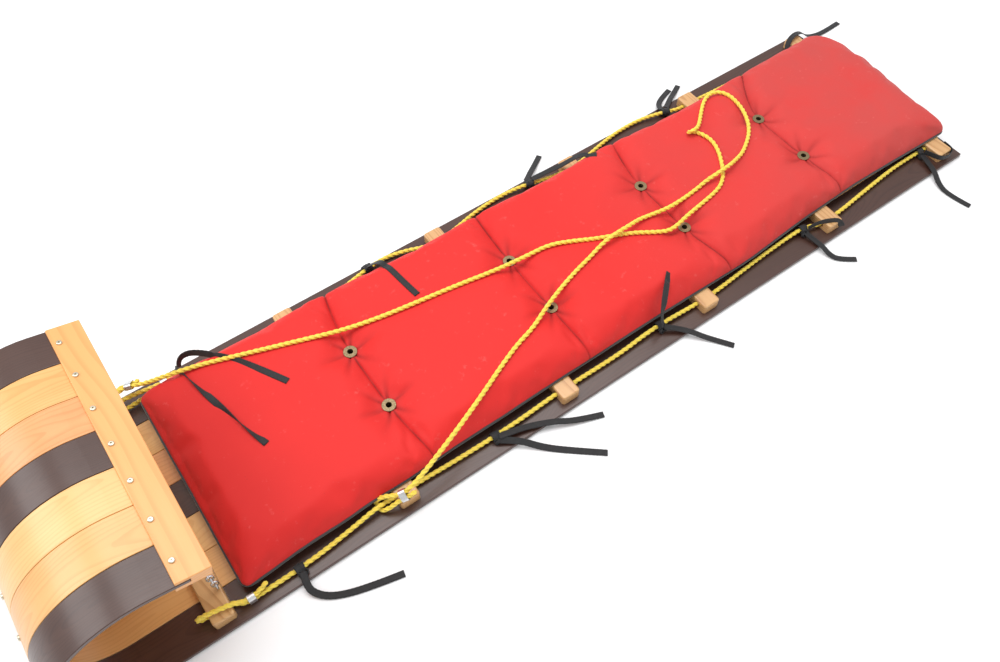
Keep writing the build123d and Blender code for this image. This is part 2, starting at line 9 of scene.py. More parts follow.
import bpy
import numpy as np
from mathutils import Euler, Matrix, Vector


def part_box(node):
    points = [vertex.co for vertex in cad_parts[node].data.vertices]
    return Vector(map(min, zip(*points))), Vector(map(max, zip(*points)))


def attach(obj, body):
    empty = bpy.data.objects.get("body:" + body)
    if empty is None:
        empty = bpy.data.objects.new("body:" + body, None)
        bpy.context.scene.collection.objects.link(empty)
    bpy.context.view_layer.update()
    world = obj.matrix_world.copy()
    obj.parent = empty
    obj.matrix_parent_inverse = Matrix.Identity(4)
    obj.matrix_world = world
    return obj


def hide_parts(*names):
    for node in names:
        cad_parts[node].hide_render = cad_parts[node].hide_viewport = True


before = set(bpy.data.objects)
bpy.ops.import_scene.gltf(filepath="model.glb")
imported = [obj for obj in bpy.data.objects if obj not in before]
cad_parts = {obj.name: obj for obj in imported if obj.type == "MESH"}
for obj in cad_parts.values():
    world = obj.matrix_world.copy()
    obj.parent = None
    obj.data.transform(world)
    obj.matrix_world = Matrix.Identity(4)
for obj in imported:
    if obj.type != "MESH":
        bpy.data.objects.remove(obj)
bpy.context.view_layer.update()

MM = 0.001
first_bar_x = sum(corner.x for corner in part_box("crossbar_1")) / 2 / MM


def at(x, y, z):
    """A point given in millimetres, with x counted from the first crossbar."""
    return Vector(((first_bar_x + x) * MM, y * MM, z * MM))


# ------------------------------------------------------------------ camera, floor and light


def add_camera():
    camera = bpy.data.objects.new("camera", bpy.data.cameras.new("camera"))
    bpy.context.scene.collection.objects.link(camera)
    camera.location = (-0.5573, -0.6987, 1.2741)
    camera.rotation_euler = Euler((0.5725, 0.0009, -0.6184))
    camera.data.lens = 31.54
    camera.data.sensor_width = 36
    camera.data.clip_start = 0.01
    bpy.context.scene.camera = camera


def add_area_light(name, place, target, size, watts, colour=(1, 1, 1)):
    light = bpy.data.lights.new(name, "AREA")
    light.shape = "RECTANGLE"
    light.size, light.size_y = size
    light.energy = watts
    light.color = colour
    lamp = bpy.data.objects.new(name, light)
    lamp.location = place
    lamp.rotation_euler = (Vector(target) - Vector(place)).to_track_quat("-Z", "Y").to_euler()
    bpy.context.scene.collection.objects.link(lamp)


def add_studio():
    world = bpy.data.worlds.new("studio")
    world.use_nodes = True
    background = world.node_tree.nodes["Background"]
    background.inputs["Color"].default_value = (1.0, 1.0, 1.0, 1)
    background.inputs["Strength"].default_value = 0.75
    bpy.context.scene.world = world
    bpy.context.scene.view_settings.view_transform = "Standard"
    add_area_light("overhead", (0.1, 0.5, 2.6), (0, 0, 0), (2.6, 1.6), 50)
    add_area_light("left_softbox", (-2.3, 1.0, 1.9), (0, 0, 0.05), (1.6, 1.4), 26)

    mesh = bpy.data.meshes.new("floor")
    half = 12.0
    mesh.from_pydata([(-half, -half, 0), (half, -half, 0), (half, half, 0), (-half, half, 0)],
                     [], [(0, 1, 2, 3)])
    floor = bpy.data.objects.new("floor", mesh)
    bpy.context.scene.collection.objects.link(floor)
    floor.location.z = -0.0005
    paper = bpy.data.materials.new("floor_paper")
    paper.use_nodes = True
    shader = paper.node_tree.nodes["Principled BSDF"]
    shader.inputs["Base Color"].default_value = (0.93, 0.93, 0.94, 1)
    shader.inputs["Roughness"].default_value = 0.9
    mesh.materials.append(paper)


# ------------------------------------------------------------------ material kit


class Maker:
    """Short calls for building one node material."""

    def __init__(self, name, base, roughness=0.5, **settings):
        self.material = bpy.data.materials.new(name)
        self.material.use_nodes = True
        self.material.diffuse_color = (*base, 1)
        self.tree = self.material.node_tree
        self.shader = self.tree.nodes["Principled BSDF"]
        self.shader.inputs["Base Color"].default_value = (*base, 1)
        self.shader.inputs["Roughness"].default_value = roughness
        for socket, value in settings.items():
            self.shader.inputs[socket.replace("_", " ")].default_value = value

    def put(self, socket, value):
        """Links a socket, or sets a number or colour on it."""
        if isinstance(value, bpy.types.NodeSocket):
            self.tree.links.new(value, socket)
        elif isinstance(value, tuple) and len(value) == 3 and socket.type == "RGBA":
            socket.default_value = (*value, 1)
        else:
            socket.default_value = value

    def node(self, kind, inputs=(), **properties):
        node = self.tree.nodes.new(kind)
        for name, value in properties.items():
            setattr(node, name, value)
        for key, value in dict(inputs).items():
            self.put(node.inputs[key], value)
        return node

    def math(self, operation, *values):
        node = self.node("ShaderNodeMath", operation=operation)
        for socket, value in zip(node.inputs, values):
            self.put(socket, value)
        return node.outputs[0]

    def place(self):
        """The point's x, y and z in the row frame, in metres."""
        where = self.node("ShaderNodeTexCoord").outputs["Object"]
        parts = self.node("ShaderNodeSeparateXYZ", {0: where}).outputs
        return where, parts[0], parts[1], parts[2]

    def uv(self):
        return self.node("ShaderNodeTexCoord").outputs["UV"]

    def vector(self, x, y, z):
        return self.node("ShaderNodeCombineXYZ", {0: x, 1: y, 2: z}).outputs[0]

    def split(self, vector):
        return self.node("ShaderNodeSeparateXYZ", {0: vector}).outputs

    def noise(self, vector, scale=5.0, detail=3.0, roughness=0.5, distortion=0.0):
        node = self.node("ShaderNodeTexNoise", {"Vector": vector, "Scale": scale, "Detail": detail,
                                                "Roughness": roughness, "Distortion": distortion})
        return node.outputs["Fac"]

    def spread(self, value, low, high, to_low=0.0, to_high=1.0):
        node = self.node("ShaderNodeMapRange", {0: value, 1: low, 2: high, 3: to_low, 4: to_high})
        return node.outputs[0]

    def mix(self, factor, a, b, blend="MIX"):
        node = self.node("ShaderNodeMix", data_type="RGBA", blend_type=blend)
        self.put(node.inputs["Factor"], factor)
        self.put(node.inputs[6], a)
        self.put(node.inputs[7], b)
        return node.outputs[2]

    def ramp(self, factor, stops):
        node = self.node("ShaderNodeValToRGB", {0: factor})
        band = node.color_ramp
        while len(band.elements) < len(stops):
            band.elements.new(0.5)
        for element, (position, colour) in zip(band.elements, stops):
            element.position = position
            element.color = (*colour, 1)
        return node.outputs[0]

    def colour(self, value):
        self.put(self.shader.inputs["Base Color"], value)

    def rough(self, value):
        self.put(self.shader.inputs["Roughness"], value)

    def bump(self, height, distance, strength=1.0):
        previous = self.shader.inputs["Normal"].links
        node = self.node("ShaderNodeBump", {"Height": height, "Distance": distance,
                                            "Strength": strength})
        if previous:
            self.put(node.inputs["Normal"], previous[0].from_socket)
        self.put(self.shader.inputs["Normal"], node.outputs[0])


# ------------------------------------------------------------------ wood

lower_curl_radius = 97.0 * MM
upper_curl_radius = 145.0 * MM
slat_low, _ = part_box("slat_4")
lower_curl_x = slat_low.x + lower_curl_radius
upper_curl_x = slat_low.x + upper_curl_radius
curl_centre_z = lower_curl_radius


def along_slat(maker):
    """Distance along a bent slat, and depth below its outer face."""
    where, x, y, z = maker.place()
    up = maker.math("SUBTRACT", z, curl_centre_z)
    low_x = maker.math("SUBTRACT", lower_curl_x, x)
    high_x = maker.math("SUBTRACT", upper_curl_x, x)
    is_upper = maker.math("GREATER_THAN", z, curl_centre_z)
    is_flat = maker.math("GREATER_THAN", x, lower_curl_x)
    low_angle = maker.math("ARCTAN2", low_x, maker.math("MULTIPLY", up, -1))
    high_angle = maker.math("ARCTAN2", up, high_x)
    low_run = maker.math("MULTIPLY", low_angle, -lower_curl_radius)
    quarter = -lower_curl_radius * math.pi / 2
    high_run = maker.math("MULTIPLY_ADD", high_angle, -upper_curl_radius, quarter)
    flat_run = maker.math("MULTIPLY", low_x, -1)
    low_depth = maker.math("SUBTRACT", lower_curl_radius,
                           maker.math("SQRT", maker.math("ADD", maker.math("POWER", up, 2),
                                                         maker.math("POWER", low_x, 2))))
    high_depth = maker.math("SUBTRACT", upper_curl_radius,
                            maker.math("SQRT", maker.math("ADD", maker.math("POWER", up, 2),
                                                          maker.math("POWER", high_x, 2))))

    def choose(high, low, flat):
        bed = maker.node("ShaderNodeMix", {0: is_flat, 2: low, 3: flat}).outputs[0]
        return maker.node("ShaderNodeMix", {0: is_upper, 2: bed, 3: high}).outputs[0]

    return choose(high_run, low_run, flat_run), y, choose(high_depth, low_depth, z)


def grain(maker, along, across, depth, seed, ring_gap, lean, pith):
    """Growth rings cut by a nearly flat plank, 0 to 1 within each ring, and a fine fibre noise."""
    wander = maker.noise(maker.vector(maker.math("MULTIPLY", along, 1.0),
                                      maker.math("MULTIPLY", across, 3.0), seed), 3.2, 2.0, 0.5)
    shift = maker.spread(wander, 0.3, 0.7, -0.012, 0.012)
    off_middle = maker.math("ADD", maker.math("ADD", across, pith), shift)
    slow = maker.noise(maker.vector(along, seed, 7.0), 2.6, 1.0, 0.4)
    below = maker.math("ADD", maker.math("MULTIPLY", maker.spread(slow, 0.25, 0.75, -1, 1), lean),
                       depth)
    radius = maker.math("SQRT", maker.math("ADD", maker.math("POWER", off_middle, 2),
                                           maker.math("POWER", below, 2)))
    rings = maker.math("FRACT", maker.math("DIVIDE", radius, ring_gap))
    fibre = maker.noise(maker.vector(maker.math("MULTIPLY", along, 6.0),
                                     maker.math("MULTIPLY", across, 220.0),
                                     maker.math("MULTIPLY", depth, 220.0)), 3.0, 3.0, 0.6)
    return rings, fibre


def wood(name, colours, along, across, depth, maker, seed, ring_gap=0.006, lean=0.03, pith=0.0,
         contrast=1.0, coat=0.25):
    """Paints a maker's material as varnished wood."""
    light, dark, late = colours
    rings, fibre = grain(maker, along, across, depth, seed, ring_gap, lean, pith)
    soft = maker.ramp(rings, [(0.0, light), (0.55, light), (0.86, late), (0.97, late),
                              (1.0, light)])
    broad = maker.noise(maker.vector(maker.math("MULTIPLY", along, 3.0),
                                     maker.math("MULTIPLY", across, 14.0), seed + 3.0), 2.0, 3.0)
    tone = maker.mix(maker.spread(broad, 0.35, 0.68), light, dark)
    body = maker.mix(contrast * 0.6, tone, soft)
    streaks = maker.spread(fibre, 0.35, 0.72, 0.0, 0.3 * contrast)
    body = maker.mix(streaks, body, dark)
    maker.colour(body)
    maker.rough(maker.spread(fibre, 0.3, 0.7, 0.34, 0.46))
    maker.bump(fibre, 0.00008, 0.5)
    maker.shader.inputs["Coat Weight"].default_value = coat
    maker.shader.inputs["Coat Roughness"].default_value = 0.22
    return maker.material


def paint(node, material):
    """Gives a CAD node its finished material."""
    slots = bpy.data.objects[node].material_slots
    for slot in slots:
        slot.material = material


def finish_slats():
    light_tones = {
        2: ((0.78, 0.43, 0.16), (0.70, 0.35, 0.11), (0.60, 0.27, 0.08)),
        3: ((0.82, 0.49, 0.19), (0.75, 0.40, 0.14), (0.66, 0.32, 0.10)),
        5: ((0.76, 0.36, 0.14), (0.67, 0.28, 0.10), (0.56, 0.21, 0.06)),
        6: ((0.79, 0.45, 0.16), (0.71, 0.36, 0.11), (0.60, 0.26, 0.07)),
    }
    dark_tones = ((0.072, 0.030, 0.020), (0.050, 0.019, 0.013), (0.034, 0.013, 0.009))
    for number in range(1, 8):
        node = f"slat_{number}"
        low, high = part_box(node)
        maker = Maker(f"{node}_lacquer", (0.5, 0.3, 0.2), 0.4)
        along, y, depth = along_slat(maker)
        across = maker.math("SUBTRACT", y, (low.y + high.y) / 2)
        is_dark = number not in light_tones
        tones = dark_tones if is_dark else light_tones[number]
        wood(node, tones, along, across, depth, maker, seed=number * 1.7,
             ring_gap=0.0035 if is_dark else 0.0055, lean=0.03,
             pith=(number % 3 - 1) * 0.012, contrast=0.5 if is_dark else 0.55,
             coat=0.3)
        paint(node, maker.material)


def finish_bars():
    bar_tones = ((0.66, 0.40, 0.18), (0.56, 0.31, 0.12), (0.42, 0.20, 0.07))
    for number in range(1, 7):
        node = f"crossbar_{number}"
        maker = Maker(f"{node}_varnish", (0.7, 0.45, 0.2), 0.4)
        where, x, y, z = maker.place()
        middle = sum(corner.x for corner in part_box(node)) / 2
        across = maker.math("SUBTRACT", x, middle)
        wood(node, bar_tones, y, across, z, maker, seed=20.0 + number * 2.3,
             ring_gap=0.0045, lean=0.02, pith=0.012 * (number % 2), contrast=1.0)
        paint(node, maker.material)
    maker = Maker("nose_bar_varnish", (0.7, 0.45, 0.2), 0.4)
    where, x, y, z = maker.place()
    wood("nose_crossbar", bar_tones, y, z, x, maker, seed=51.0, ring_gap=0.0045)
    paint("nose_crossbar", maker.material)
    maker = Maker("head_bar_varnish", (0.7, 0.45, 0.2), 0.4)
    where, x, y, z = maker.place()
    middle = sum(corner.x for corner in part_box("head_bar")) / 2
    head_tones = ((0.82, 0.40, 0.135), (0.77, 0.35, 0.11), (0.68, 0.28, 0.08))
    wood("head_bar", head_tones, y, maker.math("SUBTRACT", x, middle + 0.02), z, maker, seed=63.0,
         ring_gap=0.006, lean=0.006, contrast=0.8)
    paint("head_bar", maker.material)


# ------------------------------------------------------------------ metal


def metal(name, base, roughness, stain, scale=260.0):
    maker = Maker(name, base, roughness, Metallic=1.0)
    where = maker.place()[0]
    marks = maker.noise(where, scale, 4.0, 0.6)
    maker.colour(maker.mix(maker.spread(marks, 0.4, 0.75, 0.0, 0.6), base, stain))
    maker.rough(maker.spread(marks, 0.3, 0.7, roughness * 0.8, roughness * 1.4))
    maker.bump(marks, 0.00005, 0.4)
    return maker.material


def finish_metal():
    screw = metal("plated_steel", (0.72, 0.66, 0.52), 0.28, (0.35, 0.29, 0.20))
    zinc = metal("zinc_plate", (0.76, 0.77, 0.78), 0.32, (0.48, 0.49, 0.50), 420.0)
    brass = metal("old_brass", (0.29, 0.22, 0.125), 0.48, (0.15, 0.115, 0.07), 500.0)
    for node in ("head_screws", "nose_screws", *[f"bed_screws_{n}" for n in range(1, 7)]):
        paint(node, screw)
    for node in ("near_chain", "far_chain", "chain_screw_eyes", "side_rope_ferrules",
                 "pull_rope_ferrules"):
        paint(node, zinc)
    paint("grommets", brass)


# ------------------------------------------------------------------ paths and sweeps


def centre_line(name, route, spacing):
    """Evenly spaced points along the smooth line of a route."""
    curve = bpy.data.curves.new(name + "_line", "CURVE")
    curve.dimensions = "3D"
    curve.resolution_u = 24
    spline = curve.splines.new("NURBS")
    spline.points.add(len(route) - 1)
    for control, place in zip(spline.points, route):
        control.co = (*place, 1)
    spline.order_u = 3
    spline.use_endpoint_u = True
    holder = bpy.data.objects.new(name + "_line", curve)
    bpy.context.scene.collection.objects.link(holder)
    bpy.context.view_layer.update()
    mesh = bpy.data.meshes.new_from_object(holder)
    points = np.array([vertex.co[:] for vertex in mesh.vertices])
    bpy.data.meshes.remove(mesh)
    bpy.data.objects.remove(holder)
    bpy.data.curves.remove(curve)
    return evenly(points, spacing)


def run_lengths(points):
    steps = np.linalg.norm(np.diff(points, axis=0), axis=1)
    return np.concatenate([[0.0], np.cumsum(steps)])


def evenly(points, spacing):
    """The same line with its points a fixed distance apart."""
    distance = run_lengths(points)
    count = max(2, int(round(distance[-1] / spacing)) + 1)
    wanted = np.linspace(0, distance[-1], count)
    return np.stack([np.interp(wanted, distance, points[:, axis]) for axis in range(3)], axis=1)


def tangents(points):
    run = np.gradient(points, axis=0)
    return run / np.linalg.norm(run, axis=1)[:, None]


def carried_sides(points, first_side):
    """A side direction at each point that turns no more than the line does."""
    along = tangents(points)
    sides = [np.array(first_side, float)]
    for tangent in along:
        side = sides[-1] - tangent * (sides[-1] @ tangent)
        sides.append(side / np.linalg.norm(side))
    return np.array(sides[1:]), along


def skin(name, centres, sides, along, outlines, material, closed=False):
    """A tube whose rings are given as (side, up) offsets, with UVs along and round it."""
    ups = np.cross(along, sides)
    rings = [centre + outline[:, :1] * side + outline[:, 1:] * up
             for centre, side, up, outline in zip(centres, sides, ups, outlines)]
    count, around = len(rings), len(rings[0])
    vertices = np.concatenate(rings)
    faces = []
    spans = count if closed else count - 1
    for ring in range(spans):
        here, there = ring * around, ((ring + 1) % count) * around
        for corner in range(around):
            after = (corner + 1) % around
            faces.append((here + corner, here + after, there + after, there + corner))
    if not closed:
        faces.append(tuple(reversed(range(around))))
        faces.append(tuple(range((count - 1) * around, count * around)))
    mesh = bpy.data.meshes.new(name)
    mesh.from_pydata(vertices.tolist(), [], faces)
    layer = mesh.uv_layers.new(name="UVMap")
    distance = run_lengths(np.array(centres))
    step = distance[-1] / max(1, count - 1)
    for index in range(spans * around):
        ring, corner = divmod(index, around)
        first = index * 4
        for loop, (du, dv) in enumerate(((0, 0), (0, 1), (1, 1), (1, 0))):
            layer.data[first + loop].uv = ((ring + du) * step, (corner + dv) / around)
    for polygon in mesh.polygons:
        polygon.use_smooth = True
    mesh.materials.append(material)
    piece = bpy.data.objects.new(name, mesh)
    bpy.context.scene.collection.objects.link(piece)
    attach(piece, "root")
    return piece


def disc_outline(radius, around):
    angles = np.linspace(0, 2 * np.pi, around, endpoint=False)
    return np.stack([radius * np.cos(angles), radius * np.sin(angles)], axis=1)


# ------------------------------------------------------------------ ropes

rope_diameter = 8.0 * MM
strand_count = 3
rope_lay = 30.0 * MM
rope_ring_gap = 2.2 * MM

near_eye = [
    at(74, -197, 28), at(57, -203, 23.6), at(33, -203, 23.6), at(19, -199, 33),
    at(-27, -191, 33.5), at(-32, -189, 24.7), at(-27, -189.5, 16), at(21, -190.5, 15.5),
    at(33, -203, 15), at(57, -203, 15),
]
near_run = [
    at(105, -203, 14.5), at(160, -201, 15), at(215, -195, 16.5), at(262, -191, 23.6),
    at(289, -190, 16), at(334, -189.6, 15.3), at(400, -192.5, 14.6), at(463, -194, 15),
    at(528, -193.2, 14.6), at(591, -190.4, 15.6), at(643, -189.7, 15.3), at(737, -190.5, 14.4),
    at(796, -186.5, 17.5), at(846, -187, 17.6), at(900, -189.9, 15.7), at(951, -190.3, 15.3),
    at(1061, -181, 15.8), at(1164, -177.5, 18.6), at(1193, -181.5, 18.2), at(1212, -189, 15.8),
    at(1259, -190.3, 15.3), at(1357, -180, 14.8), at(1440, -173, 16.6), at(1515, -173.8, 16),
]
tail_run = [
    at(1562, -175.2, 15.3), at(1573, -164, 15.4), at(1574.5, -58, 12.7), at(1572, 62, 12.9),
    at(1573, 164, 15.4), at(1562, 175.2, 15.3),
]
far_run = [
    at(1517, 175, 15.9), at(1462, 178.5, 15), at(1400, 186, 13.2), at(1290, 189, 14),
    at(1259, 189.8, 15.6), at(1208, 190.4, 15.3), at(1186, 197, 16), at(1154, 207.5, 15),
    at(1114, 217, 12.2), at(1056, 215, 12), at(1001, 204, 12.6), at(951, 190.5, 15.7),
    at(900, 189.8, 15.3), at(858, 198, 16), at(813, 209, 15), at(765, 213.5, 12),
    at(712, 207.5, 12.2), at(672, 197.5, 13.6), at(643, 190.3, 15.7), at(591, 189.9, 15.3),
    at(566, 202, 14), at(530, 213, 12.3), at(500, 212.5, 14.3), at(466, 206.5, 14.6),
    at(410, 196, 12.8), at(334, 190.2, 15.6), at(284, 189.8, 15.3), at(200, 192.5, 13.5),
    at(124, 198, 15),
]
far_eye = [
    at(100, 197, 15), at(76, 197, 15), at(21, 190.5, 15.5), at(-40, 189.5, 15),
    at(-45, 189, 24.7), at(-40, 191, 36.3), at(20, 197, 36.2), at(76, 197, 23.6),
    at(100, 197, 23.6), at(117, 192, 26.5),
]
side_route = near_eye + near_run + tail_run + far_run + far_eye

pull_route = [
    at(57.5, 201.5, 55.5), at(51, 202.7, 50.4), at(34.3, 210.1, 47.6), at(9, 209.8, 44.5),
    at(-16, 206.5, 43), at(-27, 205, 24), at(-26, 193, 22.8), at(-27, 180, 34.5),
    at(-20, 187, 47), at(6, 197.5, 50.8), at(30.7, 203.9, 52.4), at(48.7, 195.9, 55.4),
    at(62, 188.5, 57.5), at(90, 173.6, 70.5), at(121, 162.6, 76.2), at(154, 155, 75),
    at(214, 134, 75.4), at(305, 103, 75), at(368, 81, 75.3), at(433, 67.2, 75),
    at(502, 57.3, 75.4), at(572, 48, 75), at(641, 36, 75.3), at(701, 30.3, 75),
    at(747, 27.6, 75.3), at(787, 10, 75), at(822, -9, 74.8), at(858, -24, 74.8),
    at(887, -38.5, 75), at(918, -59.5, 75.1), at(937, -69.5, 75), at(957, -69.5, 75.1),
    at(990, -62, 75), at(1035, -56, 75.2), at(1070.5, -49.6, 75), at(1091, -41.5, 74.8),
    at(1110, -25.5, 74.8), at(1123, -8.5, 74.8), at(1140, 18, 75), at(1149, 42, 75.2),
    at(1149.5, 62, 75), at(1141, 84, 75), at(1129, 90.2, 75.2), at(1124.7, 87.3, 79.8),
    at(1127.1, 82.8, 84.4), at(1140, 82.6, 84.2), at(1154, 90.3, 80.5), at(1169, 102.5, 77.3),
    at(1188, 119, 75.3), at(1207, 134, 75), at(1227, 144, 75.2), at(1246, 142.8, 75),
    at(1259, 131, 75.2), at(1263.4, 108, 75), at(1254, 66.7, 75.3), at(1226.6, 24.2, 75.2),
    at(1179, -7.2, 75.6), at(1152, -16, 79.3), at(1127, -23.5, 86), at(1098, -25.2, 86.2),
    at(1070, -22.8, 79.3), at(1041, -26, 75.2), at(1010.6, -28.8, 75), at(973, -30.2, 75.3),
    at(932, -23.4, 75.5), at(909, -22, 79.3), at(885, -26.3, 86), at(843, -27, 86.3),
    at(819, -27.5, 79.6), at(789, -35, 75.2), at(752, -43.8, 75), at(708, -57.7, 75.3),
    at(664, -74.8, 75), at(621, -95.3, 75.3), at(585, -104.6, 75), at(541, -122.3, 75.2),
    at(489, -146, 75), at(436, -168.6, 75.6), at(405, -181, 75.4), at(376, -189.8, 69),
    at(345, -197.5, 57.5), at(309.4, -205.3, 49), at(292.7, -198.8, 40.2),
    at(275, -185.5, 33.5), at(264, -180.1, 23.7), at(263, -184.4, 13.7), at(264, -195.4, 12.4),
    at(275, -202.5, 21.5), at(292.7, -205.7, 35), at(309.4, -212.2, 43.8), at(318, -214, 51),
]


def strand_outline(twist, scale):
    """Three round strands laid against each other, turned by twist."""
    radius = rope_diameter / 2 * scale
    strand_radius = radius * 0.464
    offset = radius - strand_radius
    angles = np.linspace(0, 2 * np.pi, 8 * strand_count, endpoint=False)
    to_strand = (angles + np.pi / strand_count) % (2 * np.pi / strand_count) - np.pi / strand_count
    reach = offset * np.cos(to_strand)
    reach += np.sqrt(np.maximum(strand_radius ** 2 - (offset * np.sin(to_strand)) ** 2, 0))
    reach = np.maximum(reach, radius * 0.70)
    return np.stack([reach * np.cos(angles + twist), reach * np.sin(angles + twist)], axis=1)


def rope_material():
    maker = Maker("yellow_fibre", (0.98, 0.72, 0.06), 0.42, Sheen_Weight=0.15)
    maker.shader.inputs["Sheen Tint"].default_value = (1.0, 0.9, 0.5, 1)
    maker.shader.inputs["Subsurface Weight"].default_value = 0.12
    maker.shader.inputs["Subsurface Radius"].default_value = (0.004, 0.002, 0.0005)
    u, v, _ = maker.split(maker.uv())
    fibres = maker.math("SINE", maker.math("ADD", maker.math("MULTIPLY", v, 2 * math.pi * 39),
                                           maker.math("MULTIPLY", u, 2600.0)))
    stretched = maker.vector(maker.math("MULTIPLY", u, 90.0), maker.math("MULTIPLY", v, 60.0), 0.0)
    stray = maker.noise(stretched, 1.0, 3.0, 0.6)
    where = maker.place()[0]
    grime = maker.noise(where, 22.0, 3.0)
    colour = maker.mix(maker.spread(fibres, -1, 1, 0.0, 0.35), (1.0, 0.76, 0.09),
                       (0.88, 0.58, 0.04))
    colour = maker.mix(maker.spread(stray, 0.5, 0.8, 0.0, 0.4), colour, (1.0, 0.86, 0.26))
    colour = maker.mix(maker.spread(grime, 0.5, 0.8, 0.0, 0.3), colour, (0.80, 0.52, 0.05))
    maker.colour(colour)
    maker.bump(fibres, 0.00012, 0.7)
    return maker.material


def make_rope(name, node, route, material):
    """A three-strand rope along a route, its ends heat sealed."""
    centres = centre_line(name, route, rope_ring_gap)
    sides, along = carried_sides(centres, (0.3, 0.2, 1.0))
    distance = run_lengths(centres)
    from_end = np.minimum(distance, distance[-1] - distance)
    seal = 3.0 * MM
    scales = np.sqrt(1 - 0.75 * np.clip(1 - from_end / seal, 0, 1) ** 2)
    outlines = [strand_outline(2 * np.pi * d / rope_lay, s) for d, s in zip(distance, scales)]
    piece = skin(name, centres, sides, along, outlines, material)
    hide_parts(node)
    return piece, centres


def make_ropes():
    fibre = rope_material()
    make_rope("side_rope_strands", "side_rope", side_route, fibre)
    rope, centres = make_rope("pull_rope_strands", "pull_rope", pull_route, fibre)


# ------------------------------------------------------------------ ties

tape_width = 11.0 * MM
tape_thickness = 1.3 * MM
ground = 1.3
on_top = 70.5
# Each tail: its route, and the tape's roll in turns along it.
tie_tails = {
    "near_tie_1": [
        ([at(122, -211, 18), at(118, -227, 12.5), at(119, -241, 5),
          at(138, -261, ground), at(182, -279, ground), at(243, -293, ground)], (0, 0)),
    ],
    "near_tie_2": [
        ([at(474, -202.5, 16.5), at(488, -211, 15), at(508, -227, 12),
          at(526, -246, 4.5), at(553, -271, ground), at(608, -316, ground)], (0.1, 0)),
        ([at(479, -200, 20), at(498, -203, 17.5), at(530, -210, 13.5),
          at(570, -227, 12), at(600, -243, 4.5), at(646, -259, ground)], (0, 0)),
    ],
    "near_tie_3": [
        ([at(829, -195, 19), at(845, -206, 15.5), at(864, -226, 12),
          at(880, -245, 4.5), at(897, -266, ground), at(911, -286, ground)], (0, 0)),
        ([at(825, -194.5, 26), at(822, -189, 49), at(828, -183, 70),
          at(846, -166, 74), at(879, -137, 73)], (0, 0.1)),
    ],
    "near_tie_4": [
        ([at(1179, -188.5, 17), at(1181, -204, 14.5), at(1185, -227, 12),
          at(1187, -243, 4.5), at(1194, -261, ground), at(1222, -280, ground)], (0, 0)),
        ([at(1183, -187.5, 26), at(1199, -191, 32), at(1221, -198, 31),
          at(1243, -210, 29), at(1243, -217, 19)], (0.25, 0.2)),
    ],
    "near_tie_5": [
        ([at(1509, -182.5, 16), at(1505, -203, 14), at(1497, -227, 12),
          at(1488, -246, 4.5), at(1483, -273, ground), at(1494, -318, ground)], (0, 0)),
        ([at(1513, -183, 22), at(1519, -198, 22), at(1526, -213.5, 21),
          at(1543, -217, 20), at(1561, -213.5, 20), at(1564.5, -200, 20),
          at(1564, -188, 20.5)], (0.25, 0.25)),
    ],
    "far_tie_1": [
        ([at(120, 182, 60), at(124, 189, 71), at(142, 190, 74), at(163, 176, 72),
          at(186, 150, 71), at(210, 120, on_top), at(249, 50, on_top)], (0.2, 0)),
        ([at(113, 182, 59), at(114, 180, 68.5), at(121, 156, 68.3),
          at(130, 123, on_top), at(147, 51, on_top), at(172, -27, on_top)], (0.1, 1)),
    ],
    "far_tie_2": [
        ([at(482, 207, 23.5), at(486, 188, 50), at(491, 171, 70),
          at(496, 146, 71.5), at(501, 100, on_top), at(505, 73, on_top)], (0, 0)),
    ],
    "far_tie_3": [
        ([at(836, 212.5, 17), at(846, 220, 13.5), at(860, 231, 10),
          at(877, 243, 4), at(905, 262, ground)], (0, 0)),
        ([at(843, 203.5, 25), at(868, 202, 27), at(898, 193, 34),
          at(920, 181, 52), at(932, 168, 69.5), at(954, 151, on_top)], (0, 0)),
    ],
    "far_tie_4": [
        ([at(1176, 209, 17), at(1180, 220, 12.5), at(1192, 234, 5),
          at(1211, 246, ground), at(1240, 255, ground)], (0, 0)),
        ([at(1185, 206, 20), at(1198, 215, 14.5), at(1216, 226.5, 11.5),
          at(1235, 238, 4), at(1264, 254, ground)], (0, 0)),
    ],
    "far_tie_5": [
        ([at(1508, 184, 20), at(1519, 197, 32), at(1545, 204, 36),
          at(1571, 206, 28), at(1588, 204, 12), at(1606, 200, 4.5),
          at(1642, 196, ground), at(1692, 200, ground)], (0, 0)),
    ],
}
# Each knot: the rope's run it grips, and how far along that run it stands.
knot_places = {
    "near_tie_1": (near_run[0], near_run[1], 0.3),
    "near_tie_2": (near_run[7], near_run[8], 0.2),
    "near_tie_3": (near_run[12], near_run[13], 0.6),
    "near_tie_4": (near_run[17], near_run[18], 0.52),
    "near_tie_5": (near_run[22], near_run[23], 0.93),
    "far_tie_2": (far_run[22], far_run[23], 0.55),
    "far_tie_3": (far_run[13], far_run[14], 0.47),
    "far_tie_4": (far_run[6], far_run[7], 0.25),
    "far_tie_5": (far_run[0], far_run[1], 0.17),
}


def tape_outline(width, thickness):
    """A flat band with rounded edges."""
    half, edge = width / 2, thickness / 2
    return np.array([(-half, 0), (-half + 0.3 * edge, -0.8 * edge), (-0.7 * half, -edge),
                     (0, -0.86 * edge), (0.7 * half, -edge), (half - 0.3 * edge, -0.8 * edge),
                     (half, 0), (half - 0.3 * edge, 0.8 * edge), (0.7 * half, edge),
                     (0, 0.86 * edge), (-0.7 * half, edge), (-half + 0.3 * edge, 0.8 * edge)])


